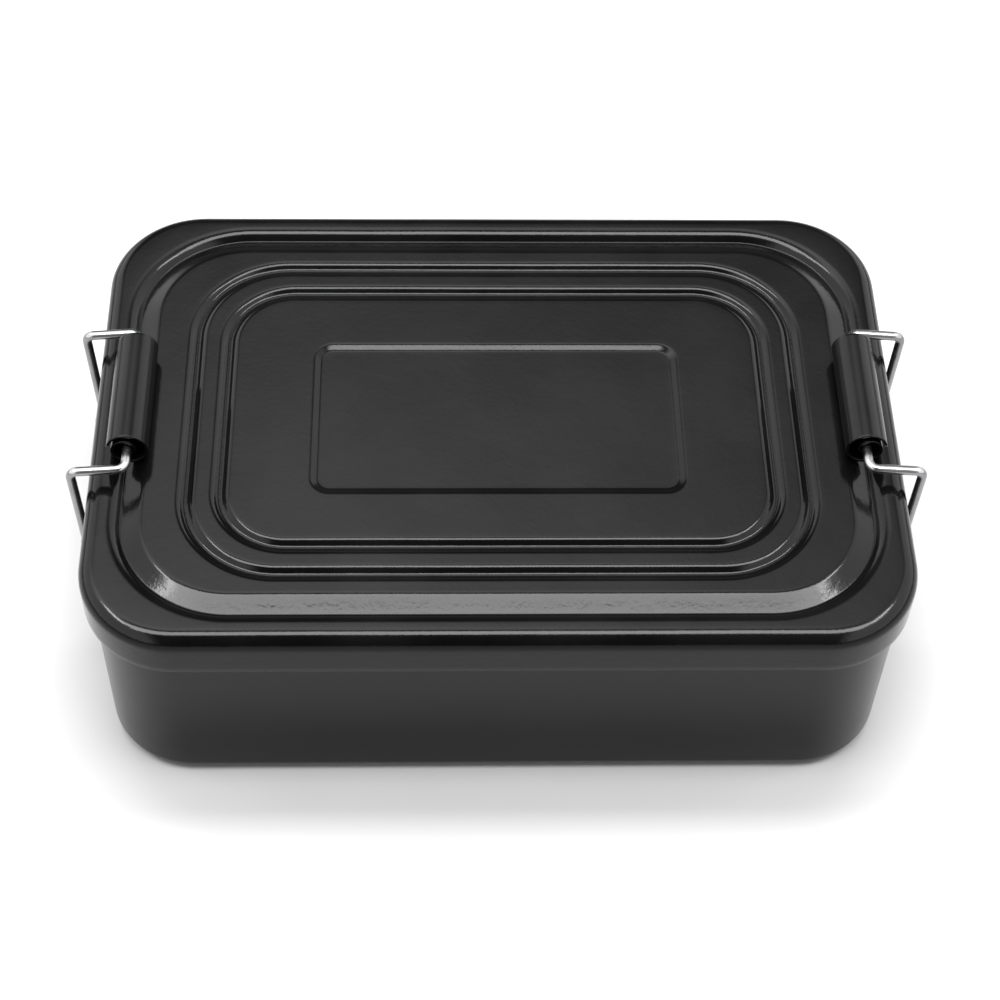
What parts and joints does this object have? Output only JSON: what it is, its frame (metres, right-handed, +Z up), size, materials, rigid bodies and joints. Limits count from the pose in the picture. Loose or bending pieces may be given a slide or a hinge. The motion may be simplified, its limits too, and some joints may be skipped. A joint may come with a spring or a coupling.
{
  "type": "metal lunch box",
  "caption": "Rectangular pressed metal lunch box with a lift-off lid, held by a wire bail clip with a rolled grip at each end.",
  "frame": {"origin": "centre of the flat underside", "axes": "+X along the box's length to its right end, +Y from front to back, +Z up"},
  "size_m": [0.1886, 0.1234, 0.0648],
  "materials": {
    "box_paint": "gloss black powder coat with a fine orange peel",
    "bracket_paint": "semi gloss black paint",
    "bright_wire": "bright drawn steel wire",
    "grip_paint": "gloss black paint, lightly scratched"
  },
  "bodies": {
    "base": {"base_tray": "box_paint", "left_bracket": "bracket_paint", "right_bracket": "bracket_paint", "left_rivets": "bracket_paint", "right_rivets": "bracket_paint"},
    "lid": {"lid": "box_paint"},
    "left_clip": {"left_bail": "bright_wire"},
    "right_clip": {"right_bail": "bright_wire"},
    "left_roll": {"left_grip": "grip_paint"},
    "right_roll": {"right_grip": "grip_paint"}
  },
  "joints": [
    {"name": "lid_lift", "type": "slide", "parent": "base", "child": "lid", "axis": [0, 0, 1], "range_m": [0, 0.01368]},
    {"name": "left_clip_swing", "type": "hinge", "parent": "base", "child": "left_clip", "pos_m": [-0.0924, 0, 0.031], "axis": [0, -1, 0], "range_deg": [0, 160]},
    {"name": "right_clip_swing", "type": "hinge", "parent": "base", "child": "right_clip", "pos_m": [0.0924, 0, 0.031], "axis": [0, 1, 0], "range_deg": [0, 160]},
    {"name": "left_grip_turn", "type": "hinge", "parent": "left_clip", "child": "left_roll", "pos_m": [-0.081, 0, 0.06023], "axis": [0, 1, 0], "continuous": true},
    {"name": "right_grip_turn", "type": "hinge", "parent": "right_clip", "child": "right_roll", "pos_m": [0.081, 0, 0.06023], "axis": [0, 1, 0], "continuous": true}
  ],
  "couplings": [
    {"joint": "left_clip_swing", "follows": "lid_lift", "rad_per_m": 204},
    {"joint": "right_clip_swing", "follows": "lid_lift", "rad_per_m": 204}
  ]
}
